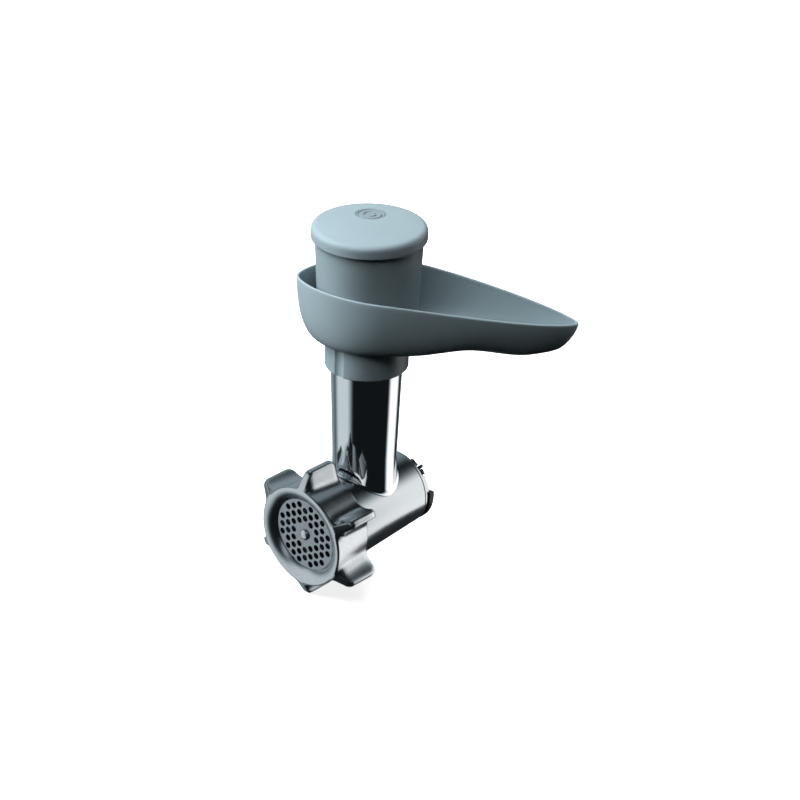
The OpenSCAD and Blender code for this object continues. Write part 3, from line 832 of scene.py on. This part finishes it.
def make_worm():
    rear, front = WORM_REAR, plate_front - WORM_GAP
    start, length = rear + 2, front - rear - 4
    half_root = length / WORM_TURNS * FLIGHT_ROOT_DEG / 360
    half_tip = length / WORM_TURNS * FLIGHT_TIP_DEG / 360
    section = rounded([
        (WORM_CORE_R - 1.5, -half_root - 1), (WORM_CORE_R + 1.5, -half_root, 2), (WORM_R, -half_tip, 0.6),
        (WORM_R, half_tip, 0.6), (WORM_CORE_R + 1.5, half_root, 2), (WORM_CORE_R - 1.5, half_root + 1),
    ])
    steps = int(WORM_TURNS * STEPS_PER_TURN)
    rings = []
    for k in range(steps + 1):
        turn = TAU * WORM_TURNS * k / steps
        middle = start + length * k / steps
        rings.append([
            (r * math.cos(turn), r * math.sin(turn), min(max(middle + a, rear + 0.5), front - 0.3))
            for r, a in section
        ])
    piece = finish_mesh("feed_worm", grid_bmesh(rings, closed_rings=False), ALONG_BARREL)
    core = lathe_bmesh(rounded([
        (SHAFT_SEAT_R, rear, 0.3), (WORM_FLANGE_R, rear, 0.6), (WORM_FLANGE_R, rear + 3, 0.8),
        (WORM_CORE_R, rear + 4, 1), (WORM_CORE_R, front, 0.6), (SPINDLE_SEAT_R, front, 0.2),
        (SPINDLE_SEAT_R, rear + SHAFT_SEAT_DEEP), (SHAFT_SEAT_R, rear + SHAFT_SEAT_DEEP),
    ]), SMALL_SEGMENTS)
    apply_boolean(piece, core, ALONG_BARREL, "UNION")
    resharpen(piece, 40)
    return attach(piece, "worm_set", "worm_metal", worm_metal, "worm")


# --- Build -----------------------------------------------------------------------------

make_housing()
make_barrel_thread()
make_feed_tube()
make_ring_nut()
make_nut_thread()
make_tray()
make_pusher()
make_lid()
make_badge()
make_worm()

FINISHES = {
    "bayonet_ring": black_plastic, "drive_dog": black_plastic, "bayonet_screws": screw_metal,
    "dog_screw": screw_metal, "rear_bush": bronze, "shaft_seal": seal_rubber, "lid_seal": seal_rubber,
    "thrust_washer": washer_plastic, "drive_shaft": shaft_metal, "worm_spindle": shaft_metal,
    "plate_key_pin": screw_metal, "knife": knife_metal, "hole_plate": plate_metal,
    "spare_plate_coarse": spare_metal, "spare_plate_fine": spare_metal,
}
for name, material in FINISHES.items():
    mesh = nodes[name].data
    mesh.materials.clear()
    mesh.materials.append(material)


# --- Camera, light and surroundings ----------------------------------------------------

CAMERA_YAW, CAMERA_PITCH, CAMERA_ROLL = 0.725, 0.485, 0.031
CAMERA_PLACE = (0.8727, -0.9868, 0.7624)
CAMERA_LENS = 96.4
STUDIO_MIDDLE = Vector((0, -0.05, 0.13))
FLOOR_HALF, FLOOR_DROP = 20, 0.0005
# Size and drop of the dark disc that puts a painted dark reflection into the metal.
DARK_DISC_R, DARK_DISC_DROP = 0.07, 0.0003

# Directions are in degrees: around from the camera's side, + to its right, and up from level.
# A strip has its left and right ends, its bottom and top, its softness and its brightness.
LEFT_STRIP = (-112, -52, -50, 42, 13, 0.66)
RIGHT_STRIP = (87, 130, -45, 28, 8, 1.2)
FRONT_STRIP = (-40, 10, 22, 46, 8, 0.4)
STRIP_SOFT_LOW, STRIP_SOFT_HIGH = 8, 12
BEHIND_RIGHT, BEHIND_LEFT = (140, 175), (-105, -150)
BEHIND_LEVEL, DARKEST = 0.32, 0.008
DIM_TINT = (0.74, 1.0, 1.12, 1)

# A lamp has its direction, its distance and size in metres, and its power.
LAMPS = {
    "overhead": (-24, 68, 1.2, 1.2, 14),
    "fill": (30, 25, 1.6, 1.4, 0.4),
    "back_fill": (155, 30, 1.5, 1.3, 9),
    "left_key": (-90, 22, 1.2, 0.6, 14),
    "upper_left": (-95, 52, 1.2, 0.6, 18),
}

yaw_sin, yaw_cos = math.sin(CAMERA_YAW), math.cos(CAMERA_YAW)
pitch_sin, pitch_cos = math.sin(CAMERA_PITCH), math.cos(CAMERA_PITCH)
ahead = Vector((-yaw_sin * pitch_cos, yaw_cos * pitch_cos, -pitch_sin))
toward_camera = Vector((-ahead.x, -ahead.y, 0)).normalized()
level_right = Vector((yaw_cos, yaw_sin, 0))
level_up = level_right.cross(ahead)
roll_cos, roll_sin = math.cos(CAMERA_ROLL), math.sin(CAMERA_ROLL)
right = level_right * roll_cos + level_up * roll_sin
up = level_up * roll_cos - level_right * roll_sin


def make_camera():
    data = bpy.data.cameras.new("camera")
    data.lens, data.sensor_width, data.clip_end = CAMERA_LENS, 36, 100
    camera = bpy.data.objects.new("camera", data)
    turn = Matrix((right, up, -ahead)).transposed().to_4x4()
    camera.matrix_world = Matrix.Translation(CAMERA_PLACE) @ turn
    bpy.context.scene.collection.objects.link(camera)
    bpy.context.scene.camera = camera


def make_world():
    """A studio by direction, seen in reflections only: strips of light, and dim elsewhere."""
    world = bpy.data.worlds.new("studio")
    bpy.context.scene.world = world
    world.use_nodes = True
    world.cycles_visibility.diffuse = False
    tree = world.node_tree
    background = next(n for n in tree.nodes if n.type == "BACKGROUND")
    direction = tree.nodes.new("ShaderNodeTexCoord").outputs["Generated"]

    def feed(socket, value):
        if isinstance(value, bpy.types.NodeSocket):
            tree.links.new(value, socket)
        else:
            socket.default_value = value

    def math_node(kind, a, b=0.0):
        node = tree.nodes.new("ShaderNodeMath")
        node.operation = kind
        feed(node.inputs[0], a)
        feed(node.inputs[1], b)
        return node.outputs[0]

    def along(axis):
        node = tree.nodes.new("ShaderNodeVectorMath")
        node.operation = "DOT_PRODUCT"
        tree.links.new(direction, node.inputs[0])
        node.inputs[1].default_value = axis
        return node.outputs["Value"]

    def edge(value, low, high):
        node = tree.nodes.new("ShaderNodeMapRange")
        node.interpolation_type = "SMOOTHSTEP"
        tree.links.new(value, node.inputs["Value"])
        node.inputs["From Min"].default_value = math.radians(low)
        node.inputs["From Max"].default_value = math.radians(high)
        return node.outputs["Result"]

    def strip(left, right_end, bottom, top, soft, level):
        across = math_node("MULTIPLY", edge(around, left - soft, left + soft),
                           edge(around, right_end + soft, right_end - soft))
        upright = math_node("MULTIPLY", edge(height, bottom - STRIP_SOFT_LOW, bottom + STRIP_SOFT_LOW),
                            edge(height, top + STRIP_SOFT_HIGH, top - STRIP_SOFT_HIGH))
        return math_node("MULTIPLY", math_node("MULTIPLY", across, upright), level)

    around = math_node("ARCTAN2", along(level_right), along(toward_camera))
    height = math_node("ARCSINE", along((0, 0, 1)))
    light = math_node("ADD", strip(*LEFT_STRIP), strip(*RIGHT_STRIP))
    behind = math_node("ADD", edge(around, *BEHIND_RIGHT), edge(around, *BEHIND_LEFT))
    light = math_node("ADD", light, math_node("MULTIPLY", behind, BEHIND_LEVEL))
    light = math_node("ADD", light, strip(*FRONT_STRIP))
    light = math_node("ADD", light, DARKEST)
    seen = tree.nodes.new("ShaderNodeMix")
    feed(seen.inputs[0], tree.nodes.new("ShaderNodeLightPath").outputs["Is Camera Ray"])
    feed(seen.inputs[2], light)
    feed(seen.inputs[3], 1.0)
    light = seen.outputs[0]
    tree.links.new(light, background.inputs["Strength"])
    tint = tree.nodes.new("ShaderNodeMix")
    tint.data_type = "RGBA"
    tree.links.new(light, tint.inputs[0])
    tint.inputs[6].default_value = DIM_TINT
    tint.inputs[7].default_value = (1, 1, 1, 1)
    tree.links.new(tint.outputs[2], background.inputs["Color"])


def studio_place(azimuth, elevation, distance):
    """A point seen from the object at an angle from the camera's side, and at a height."""
    turn, rise = math.radians(azimuth), math.radians(elevation)
    flat = toward_camera * math.cos(turn) + level_right * math.sin(turn)
    return STUDIO_MIDDLE + (flat * math.cos(rise) + Vector((0, 0, math.sin(rise)))) * distance


def area_light(name, azimuth, elevation, distance, size, power):
    """A round lamp that lights matt surfaces and isn't seen in reflections."""
    place = studio_place(azimuth, elevation, distance)
    data = bpy.data.lights.new(name, "AREA")
    data.shape, data.size, data.energy = "DISK", size, power
    lamp = bpy.data.objects.new(name, data)
    lamp.location = place
    lamp.rotation_euler = (STUDIO_MIDDLE - place).to_track_quat("-Z", "Y").to_euler()
    lamp.visible_glossy = False
    bpy.context.scene.collection.objects.link(lamp)


def flat_sheet(name, bm, drop):
    """A sheet, given in metres, that lies a little below the object."""
    mesh = bpy.data.meshes.new(name)
    bm.to_mesh(mesh)
    bm.free()
    sheet = bpy.data.objects.new(name, mesh)
    sheet.location.z = cad_box[0][2] - drop
    bpy.context.scene.collection.objects.link(sheet)
    return sheet


def make_floor():
    bm = bmesh.new()
    bmesh.ops.create_grid(bm, x_segments=8, y_segments=8, size=FLOOR_HALF)
    floor = flat_sheet("floor", bm, FLOOR_DROP)
    s = Shader("floor_paper", Roughness=0.9)
    s.mix_colors(s.spread(s.noise(size=3), 0, 1), (0.9, 0.9, 0.9), (0.92, 0.92, 0.92))
    s.out.inputs["Emission Color"].default_value = (1, 1, 1, 1)
    s.out.inputs["Emission Strength"].default_value = 0.8
    floor.data.materials.append(s.material)
    floor.visible_glossy = False
    floor.visible_diffuse = False


def make_dark_reflection_disc():
    """A dark disc under the barrel that only the metal's reflections see: a painted dark reflection,
    standing in for shade on the floor below the metal.
    """
    bm = bmesh.new()
    bmesh.ops.create_circle(bm, cap_ends=True, segments=96, radius=DARK_DISC_R)
    mat = flat_sheet("dark_reflection_disc", bm, DARK_DISC_DROP)
    s = Shader("painted_dark_reflection", Roughness=0.9)
    # Painted dark reflection: a near-black colour that the camera never sees, only the metal's mirror
    # image of the floor.
    s.mix_colors(s.spread(s.noise(size=40), 0, 1), (0.02, 0.025, 0.028), (0.035, 0.04, 0.045))
    mat.data.materials.append(s.material)
    mat.visible_camera = mat.visible_diffuse = mat.visible_shadow = False


make_camera()
make_world()
make_floor()
make_dark_reflection_disc()
for name, lamp in LAMPS.items():
    area_light(name, *lamp)
bpy.context.scene.view_settings.view_transform = "Standard"
